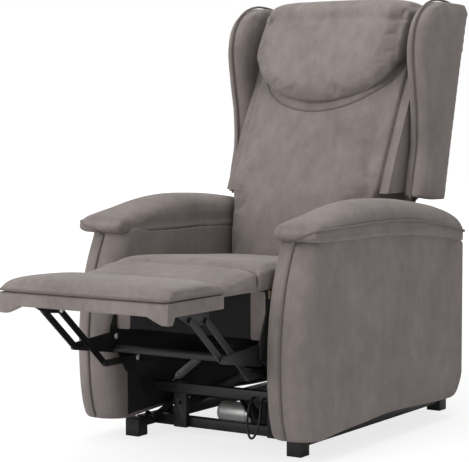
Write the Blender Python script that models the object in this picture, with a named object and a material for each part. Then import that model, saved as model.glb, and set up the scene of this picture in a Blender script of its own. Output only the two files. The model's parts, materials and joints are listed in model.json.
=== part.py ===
"""Lift recliner chair with its footrest out: frame, lift base, linkage, actuators and upholstery.

Metres, +Z up. The chair faces -Y and stands on the floor at z = 0. Its own right side is at -X.
Places along the chair are (y, z) pairs in the chair's datum frame, whose y = 0 lies over the seat.
The datum empty then moves everything so that y = 0 is the middle of the whole chair.
"""
import math

import bmesh
import bpy
from mathutils import Matrix, Vector, geometry

for item in list(bpy.data.objects):
    bpy.data.objects.remove(item, do_unlink=True)

# ---- driving dimensions ----------------------------------------------------------------------
GAP = 0.0003                # between solids that touch
SEAT_HALF = 0.2215          # from the middle to the inner face of an arm
ARM_WIDTH = 0.1135          # thickness of an arm
PAD_OVERHANG = 0.0135       # the arm pad stands out past the arm
PLATE = 0.004               # chassis plate thickness
LINK = 0.0035               # footrest link thickness
LAYER = 0.001               # air between plates that pass each other
LIFT_PLATE = 0.005          # lift arms, lift links and recline brackets
PIN = 0.004                 # pivot pin radius
PIN_CLEARANCE = 0.0003
LINK_EYE = 0.0085           # radius of a link's rounded end
TUBE = 0.0125               # torque tube and rear cross tube radius
FLOOR_GAP = 0.022           # underside of the base frame
RAIL = 0.025                # height of a base rail
RAIL_WIDTH = 0.028
FOOT = (0.040, 0.040, 0.045)
BACK_LEAN = math.radians(13.8)
SEAT_DECK = 0.0187          # thickness of the seat board
SEAT_UNDER = 0.405          # underside of the seat cushion
SEAT_TOP = 0.458
SEAT_FRONT = -0.400
SEAT_REAR = 0.084
FOOTREST_FRONT = -0.790
FOOTREST_REAR = -0.570
FOOTREST_HALF = 0.235
BOARD_LOW = 0.385
BOARD_HIGH = 0.416
PAD_HIGH = 0.445
CORD = 0.006                # cable diameter
ACTUATOR_TUBE = 0.0175
ACTUATOR_BORE = 0.0108
ACTUATOR_ROD = 0.010

# pivots (y, z)
TORQUE_PIVOT = (-0.381, 0.271)
TORQUE_TUBE = (-0.381, 0.241)
LINK_INNER = (-0.481, 0.257)
FOOT_INNER = (-0.599, 0.358)
LINK_SPAN = (-0.0625, 0.0065)   # from the inner to the outer pivot of the parallel links
LINK_OUTER = (LINK_INNER[0] + LINK_SPAN[0], LINK_INNER[1] + LINK_SPAN[1])
FOOT_OUTER = (FOOT_INNER[0] + LINK_SPAN[0], FOOT_INNER[1] + LINK_SPAN[1])
TAIL_PIVOT = (-0.428, 0.209)
GUIDE_PIVOT = (-0.2972, 0.2083)
LIFT_BASE_PIVOT = (-0.120, 0.047)
LIFT_TOP_PIVOT = (0.180, 0.090)
FRONT_BASE_PIVOT = (-0.2208, 0.047)
FRONT_TOP_PIVOT = (-0.050, 0.100)
RECLINE_PIVOT = (0.360, 0.280)
RECLINE_BAR = (0.330, 0.190)
LIFT_BAR = (0.030, 0.068)
LIFT_LEVER = (0.115, 0.076)
LIFT_ACTUATOR_PIVOT = (0.420, 0.052)
RECLINE_ACTUATOR_PIVOT = (-0.137, 0.062)
LOWER_BAR = (-0.200, 0.1245)
REAR_TUBE = (0.255, 0.118)
SPRING_RAIL = (-0.020, 0.195)

# ---- layers across the chair, from the arms inwards --------------------------------------------
PLATE_OUT = SEAT_HALF - GAP
PLATE_IN = PLATE_OUT - PLATE
FIRST_OUT = PLATE_IN - LAYER
FIRST_IN = FIRST_OUT - LINK
SECOND_OUT = FIRST_IN - LAYER
SECOND_IN = SECOND_OUT - LINK
THIRD_OUT = SECOND_IN - LAYER
THIRD_IN = THIRD_OUT - LINK
LIFT_OUT = PLATE_IN - LAYER
LIFT_IN = LIFT_OUT - LIFT_PLATE
FRONT_OUT = LIFT_IN - LAYER
FRONT_IN = FRONT_OUT - LIFT_PLATE
RAIL_IN = SEAT_HALF + 0.0045
RAIL_OUT = RAIL_IN + RAIL_WIDTH
ARM_OUT = SEAT_HALF + ARM_WIDTH
ARM_MIDDLE = SEAT_HALF + ARM_WIDTH / 2
SIDES = (("right", -1), ("left", 1))
TOP_REAR = (0.537, 1.092)      # rearmost corner of the back, near its top
DATUM_Y = -(FOOTREST_FRONT + TOP_REAR[0]) / 2

datum = bpy.data.objects.new("datum", None)
datum.location = (0, DATUM_Y, 0)
bpy.context.collection.objects.link(datum)


# ---- materials ---------------------------------------------------------------------------------
def material(name, colour, roughness, metallic=0.0):
    made = bpy.data.materials.new(name)
    made.use_nodes = True
    shader = made.node_tree.nodes["Principled BSDF"]
    shader.inputs["Base Color"].default_value = (*colour, 1)
    shader.inputs["Roughness"].default_value = roughness
    shader.inputs["Metallic"].default_value = metallic
    return made


FABRIC = material("taupe_fabric", (0.27, 0.235, 0.225), 0.9)
LINING = material("black_lining", (0.015, 0.015, 0.016), 0.9)
BLACK_STEEL = material("black_powder_coat", (0.02, 0.02, 0.021), 0.45, 0.2)
ZINC = material("zinc_plate", (0.62, 0.62, 0.60), 0.35, 1.0)
BLACK_PLASTIC = material("black_plastic", (0.02, 0.02, 0.02), 0.5)
TIMBER = material("plywood", (0.48, 0.34, 0.20), 0.7)


# ---- solids ------------------------------------------------------------------------------------
def prism(outline, low, high, axis="X"):
    """An outline in the plane across axis, made solid from low to high along it."""
    def place(a, b, along):
        return {"X": (along, a, b), "Y": (a, along, b), "Z": (a, b, along)}[axis]
    shape = bmesh.new()
    face = shape.faces.new([shape.verts.new(place(a, b, low)) for a, b in outline])
    grown = bmesh.ops.extrude_face_region(shape, geom=[face])
    moved = [v for v in grown["geom"] if isinstance(v, bmesh.types.BMVert)]
    bmesh.ops.translate(shape, verts=moved, vec=place(0, 0, high - low))
    bmesh.ops.recalc_face_normals(shape, faces=shape.faces)
    return shape


def block(low, high):
    """A box from its lowest to its highest corner."""
    x0, x1 = sorted((low[0], high[0]))
    corners = [(low[1], low[2]), (high[1], low[2]), (high[1], high[2]), (low[1], high[2])]
    return prism(corners, x0, x1)


def rod(start, end, radius, sides=16):
    """A round bar between two points."""
    start, end = Vector(start), Vector(end)
    shape = bmesh.new()
    bmesh.ops.create_cone(shape, cap_ends=True, segments=sides, radius1=radius, radius2=radius,
                          depth=(end - start).length)
    turn = (end - start).to_track_quat("Z", "Y").to_matrix().to_4x4()
    shape.transform(Matrix.Translation((start + end) / 2) @ turn)
    return shape


def rod_x(place, x0, x1, radius, sides=16):
    """A round bar along X at the (y, z) place."""
    return rod((min(x0, x1), *place), (max(x0, x1), *place), radius, sides)


def plate(discs, x0, x1, steps=14, corners=()):
    """A flat plate whose outline wraps round (y, z, radius) discs and plain corners."""
    points = [Vector(corner) for corner in corners]
    for y, z, radius in discs:
        for step in range(steps):
            angle = 2 * math.pi * step / steps
            points.append(Vector((y + radius * math.cos(angle), z + radius * math.sin(angle))))
    hull = [points[i] for i in geometry.convex_hull_2d(points)]
    return prism([(p.x, p.y) for p in hull], min(x0, x1), max(x0, x1))


def loft(sections):
    """Closed loops of equal length joined one to the next, with both ends filled."""
    shape = bmesh.new()
    loops = [[shape.verts.new(point) for point in section] for section in sections]
    for near, far in zip(loops, loops[1:]):
        for i, vertex in enumerate(near):
            after = (i + 1) % len(near)
            shape.faces.new((vertex, near[after], far[after], far[i]))
    shape.faces.new(loops[0])
    shape.faces.new(loops[-1])
    bmesh.ops.recalc_face_normals(shape, faces=shape.faces)
    return shape


def raw_object(name, shape):
    mesh = bpy.data.meshes.new(name)
    shape.to_mesh(mesh)
    shape.free()
    made = bpy.data.objects.new(name, mesh)
    bpy.context.collection.objects.link(made)
    return made


def piece(name, finish, shape, join=(), cut=(), pivot=(0, 0)):
    """A node: shape with the join solids added and the cut solids taken away, its origin on its pivot."""
    made = raw_object(name, shape)
    steps = [(tool, "UNION") for tool in join] + [(tool, "DIFFERENCE") for tool in cut]
    for tool, operation in steps:
        helper = raw_object("helper", tool)
        change = made.modifiers.new("change", "BOOLEAN")
        change.operation = operation
        change.solver = "EXACT"
        change.object = helper
        bpy.ops.object.select_all(action="DESELECT")
        bpy.context.view_layer.objects.active = made
        bpy.ops.object.modifier_apply(modifier=change.name)
        bpy.data.objects.remove(helper, do_unlink=True)
    made.data.transform(Matrix.Translation((0, -pivot[0], -pivot[1])))
    made.location = (0, pivot[0], pivot[1])
    made.parent = datum
    made.data.materials.append(finish)
    made.data.shade_smooth()
    made.data.set_sharp_from_angle(angle=math.radians(35))
    return made


def hole(place, x0, x1, radius=PIN + PIN_CLEARANCE):
    """The cutter of a pivot hole that runs right through a plate."""
    low, high = min(x0, x1), max(x0, x1)
    return rod_x(place, low - LAYER / 2, high + LAYER / 2, radius)


def along(start, end, distance):
    """The (y, z) place at a distance from start towards end."""
    way = Vector((end[0] - start[0], end[1] - start[1])).normalized()
    return (start[0] + way.x * distance, start[1] + way.y * distance)


def span(start, end):
    return math.hypot(end[0] - start[0], end[1] - start[1])


# ---- lift base on the floor --------------------------------------------------------------------
RAIL_FRONT, RAIL_REAR = -0.235, 0.475
RAIL_TOP = FLOOR_GAP + RAIL
BASE_TUBE_DEPTH = 0.025
FRONT_TUBE_Y, REAR_TUBE_Y = -0.1775, 0.460
LUG = 0.0115


def base_rail(side, sign):
    lugs, pins = [], []
    for pivot, reach in ((LIFT_BASE_PIVOT, LIFT_IN), (FRONT_BASE_PIVOT, FRONT_IN)):
        foot = [(pivot[0] - LUG, RAIL_TOP - 0.01), (pivot[0] + LUG, RAIL_TOP - 0.01)]
        lugs.append(plate([(*pivot, LUG)], sign * RAIL_IN, sign * (RAIL_IN + 0.006), corners=foot))
        pins.append(rod_x(pivot, sign * (RAIL_IN + 0.003), sign * reach, PIN))
    bar = block((sign * RAIL_IN, RAIL_FRONT, FLOOR_GAP), (sign * RAIL_OUT, RAIL_REAR, RAIL_TOP))
    piece(f"base_rail_{side}", BLACK_STEEL, bar, join=lugs + pins)


def foot(end, side, sign):
    middle = sign * (RAIL_IN + RAIL_WIDTH / 2)
    width, depth, height = FOOT
    edge = RAIL_FRONT - GAP if end == "front" else RAIL_REAR + GAP
    y0, y1 = (edge - depth, edge) if end == "front" else (edge, edge + depth)
    body = block((middle - width / 2, y0, 0), (middle + width / 2, y1, height))
    piece(f"foot_{end}_{side}", BLACK_PLASTIC, body)


def base_tube(name, y, brackets=()):
    low = (-(RAIL_IN - GAP), y - BASE_TUBE_DEPTH / 2, FLOOR_GAP)
    high = (RAIL_IN - GAP, y + BASE_TUBE_DEPTH / 2, RAIL_TOP)
    piece(name, BLACK_STEEL, block(low, high), join=brackets)


def bar_post(side, sign):
    width, depth = 0.038, 0.0145
    front = FRONT_TUBE_Y - BASE_TUBE_DEPTH / 2 - GAP
    body = block((sign * 0.121, front - depth, FLOOR_GAP),
                 (sign * (0.121 + width), front, LOWER_BAR[1] - BASE_TUBE_DEPTH / 2 - GAP))
    opening = rod((sign * 0.14, front - depth - LAYER, 0.085), (sign * 0.14, front + LAYER, 0.085), 0.005)
    piece(f"bar_post_{side}", BLACK_STEEL, body, cut=[opening])


LIFT_ACTUATOR_X = -0.060
LIFT_EYE = 0.008             # width of the lug that pivots on the base
for side_name, side_sign in SIDES:
    base_rail(side_name, side_sign)
    foot("front", side_name, side_sign)
    foot("rear", side_name, side_sign)
    bar_post(side_name, side_sign)
base_tube("base_front_tube", FRONT_TUBE_Y)
clevis = []
for wall in (-1, 1):
    inner = LIFT_ACTUATOR_X + wall * (LIFT_EYE / 2 + LAYER / 2)
    clevis.append(plate([(*LIFT_ACTUATOR_PIVOT, 0.011)], inner, inner + wall * 0.005,
                        corners=[(REAR_TUBE_Y, FLOOR_GAP + 0.002), (REAR_TUBE_Y, RAIL_TOP - 0.002)]))
clevis_reach = LIFT_EYE / 2 + LAYER / 2 + 0.003
clevis.append(rod_x(LIFT_ACTUATOR_PIVOT, LIFT_ACTUATOR_X - clevis_reach,
                    LIFT_ACTUATOR_X + clevis_reach, PIN))
base_tube("base_rear_tube", REAR_TUBE_Y, clevis)


# ---- lift arms and front lift links ------------------------------------------------------------
LIFT_ARM_EYE = 0.0125
LEVER_THICK = 0.006
FRONT_EYE = 0.008
for side_name, side_sign in SIDES:
    outer, inner = side_sign * LIFT_OUT, side_sign * LIFT_IN
    piece(f"lift_arm_{side_name}", BLACK_STEEL,
          plate([(*LIFT_BASE_PIVOT, LIFT_ARM_EYE), (*LIFT_TOP_PIVOT, LIFT_ARM_EYE)], outer, inner),
          cut=[hole(LIFT_BASE_PIVOT, outer, inner), hole(LIFT_TOP_PIVOT, outer, inner)],
          pivot=LIFT_BASE_PIVOT)
    outer, inner = side_sign * FRONT_OUT, side_sign * FRONT_IN
    piece(f"front_lift_link_{side_name}", BLACK_STEEL,
          plate([(*FRONT_BASE_PIVOT, FRONT_EYE), (*FRONT_TOP_PIVOT, FRONT_EYE)], outer, inner),
          cut=[hole(FRONT_BASE_PIVOT, outer, inner)], pivot=FRONT_BASE_PIVOT)
lever_side = LIFT_ACTUATOR_X + LIFT_EYE / 2 + GAP
piece("lift_cross_tube", BLACK_STEEL,
      rod_x(LIFT_BAR, -(LIFT_IN - GAP), LIFT_IN - GAP, 0.010),
      join=[plate([(*LIFT_BAR, 0.008), (*LIFT_LEVER, 0.012)], lever_side, lever_side + LEVER_THICK)],
      pivot=LIFT_BASE_PIVOT)


# ---- actuators ---------------------------------------------------------------------------------
def actuator_tube(pivot, end, x, start, length):
    """The outer tube of an actuator and its bore, along the line from pivot to end."""
    near, far = along(pivot, end, start), along(pivot, end, start + length)
    mouth = along(pivot, end, start + length + LAYER)
    bottom = along(pivot, end, start + 0.012)
    tube = rod((x, *near), (x, *far), ACTUATOR_TUBE, 20)
    bore = rod((x, *bottom), (x, *mouth), ACTUATOR_BORE, 16)
    return tube, bore


LIFT_TUBE_START, LIFT_TUBE_LENGTH = 0.030, 0.210
RECLINE_TUBE_START, RECLINE_TUBE_LENGTH = 0.050, 0.300
RECLINE_X = 0.040
GEARBOX = 0.044

tube, bore = actuator_tube(LIFT_ACTUATOR_PIVOT, LIFT_LEVER, LIFT_ACTUATOR_X,
                           LIFT_TUBE_START, LIFT_TUBE_LENGTH)
gear_place = along(LIFT_ACTUATOR_PIVOT, LIFT_LEVER, 0.034)
gear = block((LIFT_ACTUATOR_X - GEARBOX / 2, gear_place[0] - 0.020, gear_place[1] - 0.024),
             (LIFT_ACTUATOR_X + GEARBOX / 2, gear_place[0] + 0.016, gear_place[1] + 0.024))
lug = plate([(*LIFT_ACTUATOR_PIVOT, 0.009), (*gear_place, 0.009)],
            LIFT_ACTUATOR_X - LIFT_EYE / 2, LIFT_ACTUATOR_X + LIFT_EYE / 2)
lift_motor = rod_x(gear_place, LIFT_ACTUATOR_X + GEARBOX / 2 - LAYER, LIFT_ACTUATOR_X + 0.11, 0.0215, 20)
piece("lift_actuator_housing", BLACK_PLASTIC, gear, join=[lug, tube, lift_motor],
      cut=[bore, hole(LIFT_ACTUATOR_PIVOT, LIFT_ACTUATOR_X - LIFT_EYE / 2, LIFT_ACTUATOR_X + LIFT_EYE / 2)],
      pivot=LIFT_ACTUATOR_PIVOT)
rod_start = along(LIFT_ACTUATOR_PIVOT, LIFT_LEVER, LIFT_TUBE_START + 0.014)
piece("lift_actuator_rod", ZINC,
      rod((LIFT_ACTUATOR_X, *rod_start), (LIFT_ACTUATOR_X, *LIFT_LEVER), ACTUATOR_ROD),
      join=[plate([(*LIFT_LEVER, 0.013)], LIFT_ACTUATOR_X - LIFT_EYE / 2, LIFT_ACTUATOR_X + LIFT_EYE / 2)],
      cut=[block((LIFT_ACTUATOR_X + LIFT_EYE / 2, LIFT_LEVER[0] - 0.02, LIFT_LEVER[1] - 0.02),
                 (LIFT_ACTUATOR_X + 0.02, LIFT_LEVER[0] + 0.035, LIFT_LEVER[1] + 0.02))],
      pivot=LIFT_ACTUATOR_PIVOT)

tube, bore = actuator_tube(RECLINE_ACTUATOR_PIVOT, RECLINE_BAR, RECLINE_X,
                           RECLINE_TUBE_START, RECLINE_TUBE_LENGTH)
RECLINE_LUG = 0.010
MOTOR_Y, MOTOR_Z, MOTOR_RADIUS = -0.096, 0.053, 0.029
gear = block((RECLINE_X - GEARBOX / 2, MOTOR_Y - 0.022, MOTOR_Z - 0.022),
             (RECLINE_X + GEARBOX / 2, MOTOR_Y + 0.022, MOTOR_Z + 0.040))
lug = plate([(*RECLINE_ACTUATOR_PIVOT, 0.009), (MOTOR_Y, RECLINE_ACTUATOR_PIVOT[1], 0.009)],
            RECLINE_X - RECLINE_LUG / 2, RECLINE_X + RECLINE_LUG / 2)
lug_hole = hole(RECLINE_ACTUATOR_PIVOT, RECLINE_X - RECLINE_LUG / 2, RECLINE_X + RECLINE_LUG / 2)
piece("recline_actuator_housing", BLACK_PLASTIC, gear, join=[lug, tube], cut=[bore, lug_hole],
      pivot=RECLINE_ACTUATOR_PIVOT)
piece("recline_motor", ZINC,
      rod_x((MOTOR_Y, MOTOR_Z), -0.090, RECLINE_X - GEARBOX / 2 - GAP, MOTOR_RADIUS, 28),
      pivot=RECLINE_ACTUATOR_PIVOT)
RECLINE_BAR_RADIUS, EYE_CLEARANCE = 0.008, 0.0045
rod_start = along(RECLINE_ACTUATOR_PIVOT, RECLINE_BAR, RECLINE_TUBE_START + 0.060)
eye_bore = RECLINE_BAR_RADIUS + EYE_CLEARANCE
piece("recline_actuator_rod", ZINC,
      rod((RECLINE_X, *rod_start), (RECLINE_X, *RECLINE_BAR), ACTUATOR_ROD),
      join=[rod_x(RECLINE_BAR, RECLINE_X - 0.010, RECLINE_X + 0.010, eye_bore + 0.005, 20)],
      cut=[rod_x(RECLINE_BAR, RECLINE_X - 0.012, RECLINE_X + 0.012, eye_bore, 20)],
      pivot=RECLINE_ACTUATOR_PIVOT)


# ---- chassis -----------------------------------------------------------------------------------
DECK_UNDER = SEAT_UNDER - GAP - SEAT_DECK
DECK_FRONT, DECK_REAR = -0.354, 0.060
PLATE_TOP = DECK_UNDER - GAP
CHASSIS_OUTLINE = [
    (-0.396, 0.250), (-0.396, 0.290), (-0.354, PLATE_TOP), (DECK_REAR, PLATE_TOP), (0.120, 0.320),
    (0.395, 0.320), (0.395, 0.250), (0.345, 0.180), (0.230, 0.075), (-0.120, 0.075),
    (-0.250, 0.105), (-0.330, 0.180), (-0.360, 0.225)]

for side_name, side_sign in SIDES:
    pins = [rod_x(TORQUE_PIVOT, side_sign * (PLATE_IN + 0.002), side_sign * FIRST_IN, PIN),
            rod_x(GUIDE_PIVOT, side_sign * (PLATE_IN + 0.002), side_sign * THIRD_IN, PIN),
            rod_x(LIFT_TOP_PIVOT, side_sign * (PLATE_IN + 0.002), side_sign * LIFT_IN, PIN),
            rod_x(RECLINE_PIVOT, side_sign * (PLATE_IN + 0.002), side_sign * LIFT_IN, PIN)]
    piece(f"chassis_plate_{side_name}", BLACK_STEEL,
          prism(CHASSIS_OUTLINE, *sorted((side_sign * PLATE_OUT, side_sign * PLATE_IN))), join=pins)

BAR_HALF = BASE_TUBE_DEPTH / 2
hanger = []
for wall in (-1, 1):
    inner = RECLINE_X + wall * (RECLINE_LUG / 2 + LAYER / 2)
    hanger.append(plate([(*RECLINE_ACTUATOR_PIVOT, 0.011), (LOWER_BAR[0] + 0.004, LOWER_BAR[1], 0.008)],
                        inner, inner + wall * 0.005))
hanger_reach = RECLINE_LUG / 2 + LAYER / 2 + 0.003
hanger.append(rod_x(RECLINE_ACTUATOR_PIVOT, RECLINE_X - hanger_reach, RECLINE_X + hanger_reach, PIN))
piece("lower_cross_bar", BLACK_STEEL,
      block((-(PLATE_IN - GAP), LOWER_BAR[0] - BAR_HALF, LOWER_BAR[1] - BAR_HALF),
            (PLATE_IN - GAP, LOWER_BAR[0] + BAR_HALF, LOWER_BAR[1] + BAR_HALF)), join=hanger)
piece("rear_cross_tube", BLACK_STEEL, rod_x(REAR_TUBE, -(PLATE_IN - GAP), PLATE_IN - GAP, TUBE, 20))
piece("spring_rail", BLACK_STEEL,
      block((-(PLATE_IN - GAP), SPRING_RAIL[0] - 0.010, SPRING_RAIL[1] - 0.010),
            (PLATE_IN - GAP, SPRING_RAIL[0] + 0.010, SPRING_RAIL[1] + 0.010)))
piece("seat_deck", TIMBER,
      block((-PLATE_OUT, DECK_FRONT, DECK_UNDER), (PLATE_OUT, DECK_REAR, DECK_UNDER + SEAT_DECK)))
FASCIA = 0.012
piece("front_fascia", LINING,
      block((-(PLATE_IN - GAP), DECK_FRONT - GAP - FASCIA, 0.290),
            (PLATE_IN - GAP, DECK_FRONT - GAP, SEAT_UNDER - GAP)))
REAR_PANEL_Y = 0.432
piece("rear_panel", LINING,
      block((-PLATE_OUT, REAR_PANEL_Y - 0.010, 0.085), (PLATE_OUT, REAR_PANEL_Y, 0.285)))
piece("control_box", BLACK_PLASTIC,
      block((0.080, -0.110, DECK_UNDER - GAP - 0.045), (0.180, -0.010, DECK_UNDER - GAP)))


HOOK_TILT = 0.001            # the hook wire ends are cut square across a sloping wire


def tension_spring(side, x):
    start = (LOWER_BAR[0] + BAR_HALF + GAP + HOOK_TILT, LOWER_BAR[1] + 0.006)
    end = (SPRING_RAIL[0] - 0.010 - GAP - HOOK_TILT, SPRING_RAIL[1] - 0.004)
    length = span(start, end)
    coil_start, coil_end = along(start, end, length * 0.14), along(start, end, length * 0.86)
    piece(f"spring_{side}", ZINC, rod((x, *coil_start), (x, *coil_end), 0.009, 14),
          join=[rod((x, *start), (x, *end), 0.0022, 8)])


tension_spring("right", -0.180)
tension_spring("left", 0.100)

CABLE_ROUTE = [
    (0.121, -0.2140, 0.120), (0.121, -0.222, 0.120), (0.122, -0.234, 0.107), (0.123, -0.242, 0.078),
    (0.120, -0.247, 0.053), (0.113, -0.249, 0.033), (0.104, -0.250, 0.026), (0.096, -0.249, 0.033),
    (0.090, -0.247, 0.053), (0.088, -0.242, 0.078), (0.089, -0.234, 0.107), (0.090, -0.222, 0.120),
    (0.090, -0.2140, 0.120)]


def smooth_route(route, step):
    """Points every step along a Catmull-Rom curve through the route's points."""
    padded = [route[0], *route, route[-1]]
    dense = []
    for i in range(len(route) - 1):
        p0, p1, p2, p3 = (Vector(p) for p in padded[i:i + 4])
        for k in range(12):
            t = k / 12
            dense.append(0.5 * (2 * p1 + (p2 - p0) * t + (2 * p0 - 5 * p1 + 4 * p2 - p3) * t ** 2
                                + (3 * p1 - p0 - 3 * p2 + p3) * t ** 3))
    dense.append(Vector(route[-1]))
    chosen, travelled = [dense[0]], 0.0
    for before, after in zip(dense, dense[1:]):
        travelled += (after - before).length
        if travelled >= step:
            chosen.append(after)
            travelled = 0.0
    chosen[-1] = dense[-1]
    return chosen


def cable_loop():
    curve = bpy.data.curves.new("cable_loop", "CURVE")
    curve.dimensions = "3D"
    curve.bevel_depth = CORD / 2
    curve.bevel_resolution = 2
    curve.use_fill_caps = True
    points = smooth_route(CABLE_ROUTE, CORD * 2)
    spline = curve.splines.new("POLY")
    spline.points.add(len(points) - 1)
    for point, place in zip(spline.points, points):
        point.co = (*place, 1)
    made = bpy.data.objects.new("cable_loop", curve)
    bpy.context.collection.objects.link(made)
    made.parent = datum
    curve.materials.append(BLACK_PLASTIC)


cable_loop()


# ---- arms --------------------------------------------------------------------------------------
ARM_FRONT = [(-0.385, 0.057), (-0.395, 0.110), (-0.402, 0.170), (-0.405, 0.240), (-0.400, 0.310),
             (-0.387, 0.395), (-0.365, 0.460)]
ARM_BOTTOM = [(0.430, 0.070), (0.390, 0.059), (0.270, 0.060), (0.100, 0.069), (0.000, 0.072),
              (-0.136, 0.066), (-0.260, 0.061)]
PAD_STATIONS = [   # y, underside, piping height, crown, half width
    (-0.374, 0.532, 0.543, 0.550, 0.050), (-0.362, 0.524, 0.549, 0.560, 0.060),
    (-0.335, 0.520, 0.550, 0.567, 0.0635), (-0.257, 0.518, 0.550, 0.583, 0.0635),
    (-0.150, 0.516, 0.552, 0.603, 0.0635), (0.000, 0.516, 0.553, 0.607, 0.0635),
    (0.120, 0.510, 0.549, 0.601, 0.0635), (0.240, 0.502, 0.536, 0.586, 0.0635),
    (0.340, 0.490, 0.521, 0.570, 0.0635), (0.430, 0.476, 0.508, 0.550, 0.0600),
    (0.455, 0.482, 0.498, 0.512, 0.0450)]
ARM_TOP = [(y, low - GAP) for y, low, piping, crown, half in reversed(PAD_STATIONS[2:-1])]
ARM_REAR = [(0.455, 0.120), (0.455, 0.440)]
FRONT_ROUND = ((0.0, 0.052), (0.15, 0.020), (0.5, 0.0), (0.85, 0.020), (1.0, 0.052))


def arm(side, sign):
    """The arm's padded body: its front is a half round, seen from above."""
    sections = []
    for share, back in FRONT_ROUND:
        x = sign * (SEAT_HALF + share * ARM_WIDTH)
        front = [(y + back, z) for y, z in ARM_FRONT]
        loop = front + ARM_TOP[::-1] + ARM_REAR[::-1] + ARM_BOTTOM
        sections.append([(x, y, z) for y, z in loop])
    piece(f"arm_{side}", FABRIC, loft(sections))


def arm_pad(side, sign):
    sections = []
    middle = SEAT_HALF + (ARM_WIDTH + PAD_OVERHANG) / 2
    widest = (ARM_WIDTH + PAD_OVERHANG) / 2
    for y, low, piping, crown, half in PAD_STATIONS:
        wide = widest * half / PAD_STATIONS[4][4]
        section = [(-wide, low), (wide, low)]
        for step in range(7):
            angle = math.pi * step / 6
            section.append((wide * math.cos(angle), piping + (crown - piping) * math.sin(angle)))
        sections.append([(sign * (middle + across), y, z) for across, z in section])
    piece(f"arm_pad_{side}", FABRIC, loft(sections))


for side_name, side_sign in SIDES:
    arm(side_name, side_sign)
    arm_pad(side_name, side_sign)


# ---- seat cushion and the pad that bridges to the footrest --------------------------------------
CUSHION_HALF = SEAT_HALF - 0.003
seat_outline = [(SEAT_FRONT, SEAT_UNDER), (SEAT_REAR - 0.008, SEAT_UNDER), (SEAT_REAR, SEAT_TOP - 0.022),
                (-0.100, SEAT_TOP - 0.008), (-0.330, SEAT_TOP + 0.006), (SEAT_FRONT, SEAT_TOP)]
piece("seat_cushion", FABRIC, prism(seat_outline, -CUSHION_HALF, CUSHION_HALF))
BRIDGE_END = -0.555
piece("bridge_pad", FABRIC,
      block((-CUSHION_HALF, BRIDGE_END, SEAT_UNDER), (CUSHION_HALF, SEAT_FRONT - GAP, 0.440)))

# ---- footrest and its links --------------------------------------------------------------------
TORQUE_EYE = 0.012
for side_name, side_sign in SIDES:
    outer, inner = side_sign * FIRST_OUT, side_sign * FIRST_IN
    reach = side_sign * (SECOND_IN - LAYER / 2)
    stubs = [rod_x(place, side_sign * (FIRST_IN + 0.002), reach, PIN) for place in (LINK_INNER, LINK_OUTER)]
    piece(f"front_link_{side_name}", BLACK_STEEL,
          plate([(*TORQUE_PIVOT, TORQUE_EYE), (*TORQUE_TUBE, TORQUE_EYE), (*LINK_INNER, LINK_EYE),
                 (*LINK_OUTER, LINK_EYE)], outer, inner),
          join=stubs, cut=[hole(TORQUE_PIVOT, outer, inner)], pivot=TORQUE_PIVOT)
    outer, inner = side_sign * SECOND_OUT, side_sign * SECOND_IN
    reach = side_sign * (THIRD_IN - LAYER / 2)
    piece(f"long_link_{side_name}", BLACK_STEEL,
          plate([(*FOOT_INNER, LINK_EYE), (*TAIL_PIVOT, LINK_EYE)], outer, inner),
          join=[rod_x(FOOT_INNER, side_sign * (SECOND_IN + 0.002), reach, PIN)],
          cut=[hole(LINK_INNER, outer, inner)], pivot=LINK_INNER)
    piece(f"outer_link_{side_name}", BLACK_STEEL,
          plate([(*FOOT_OUTER, LINK_EYE), (*LINK_OUTER, LINK_EYE)], outer, inner),
          join=[rod_x(FOOT_OUTER, side_sign * (SECOND_IN + 0.002), reach, PIN)],
          cut=[hole(LINK_OUTER, outer, inner)], pivot=LINK_OUTER)
    outer, inner = side_sign * THIRD_OUT, side_sign * THIRD_IN
    piece(f"guide_link_{side_name}", BLACK_STEEL,
          plate([(*TAIL_PIVOT, LINK_EYE), (*GUIDE_PIVOT, LINK_EYE)], outer, inner),
          cut=[hole(GUIDE_PIVOT, outer, inner)], pivot=GUIDE_PIVOT)
    flange = [(-0.720, BOARD_LOW - GAP), (-0.585, BOARD_LOW - GAP)]
    piece(f"footrest_bracket_{side_name}", BLACK_STEEL,
          plate([(*FOOT_INNER, LINK_EYE), (*FOOT_OUTER, LINK_EYE)], outer, inner, corners=flange),
          cut=[hole(FOOT_INNER, outer, inner), hole(FOOT_OUTER, outer, inner)], pivot=FOOT_INNER)
piece("torque_tube", BLACK_STEEL,
      rod_x(TORQUE_TUBE, -(FIRST_IN - GAP), FIRST_IN - GAP, TUBE * 0.8, 20), pivot=TORQUE_PIVOT)
BAND = 0.016
board = block((-FOOTREST_HALF, FOOTREST_FRONT + 0.004, BOARD_LOW), (FOOTREST_HALF, FOOTREST_REAR, BOARD_HIGH))
ears = [block((-FOOTREST_HALF, FOOTREST_FRONT + 0.004, 0.368),
              (-FOOTREST_HALF + 0.05, FOOTREST_FRONT + BAND, BOARD_LOW + 0.01)),
        block((FOOTREST_HALF - 0.05, FOOTREST_FRONT + 0.004, 0.368),
              (FOOTREST_HALF, FOOTREST_FRONT + BAND, BOARD_LOW + 0.01))]
piece("footrest_board", FABRIC, board, join=ears, pivot=FOOT_INNER)
piece("footrest_pad", FABRIC,
      block((-FOOTREST_HALF, FOOTREST_FRONT, BOARD_HIGH + GAP), (FOOTREST_HALF, BRIDGE_END - GAP, PAD_HIGH)),
      pivot=FOOT_INNER)

# ---- back --------------------------------------------------------------------------------------
BACK_COVER, BACK_FRAME = 0.012, 0.045
BACK_LOW, WING_LOW, BACK_TOP = 0.320, 0.606, 1.085
NECK_HALF = LIFT_IN - GAP           # the back's half width between the arms
SHOULDER_HALF = 0.2500              # its half width between the wings
WING_IN, WING_OUT = SHOULDER_HALF + GAP, 0.308


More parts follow.
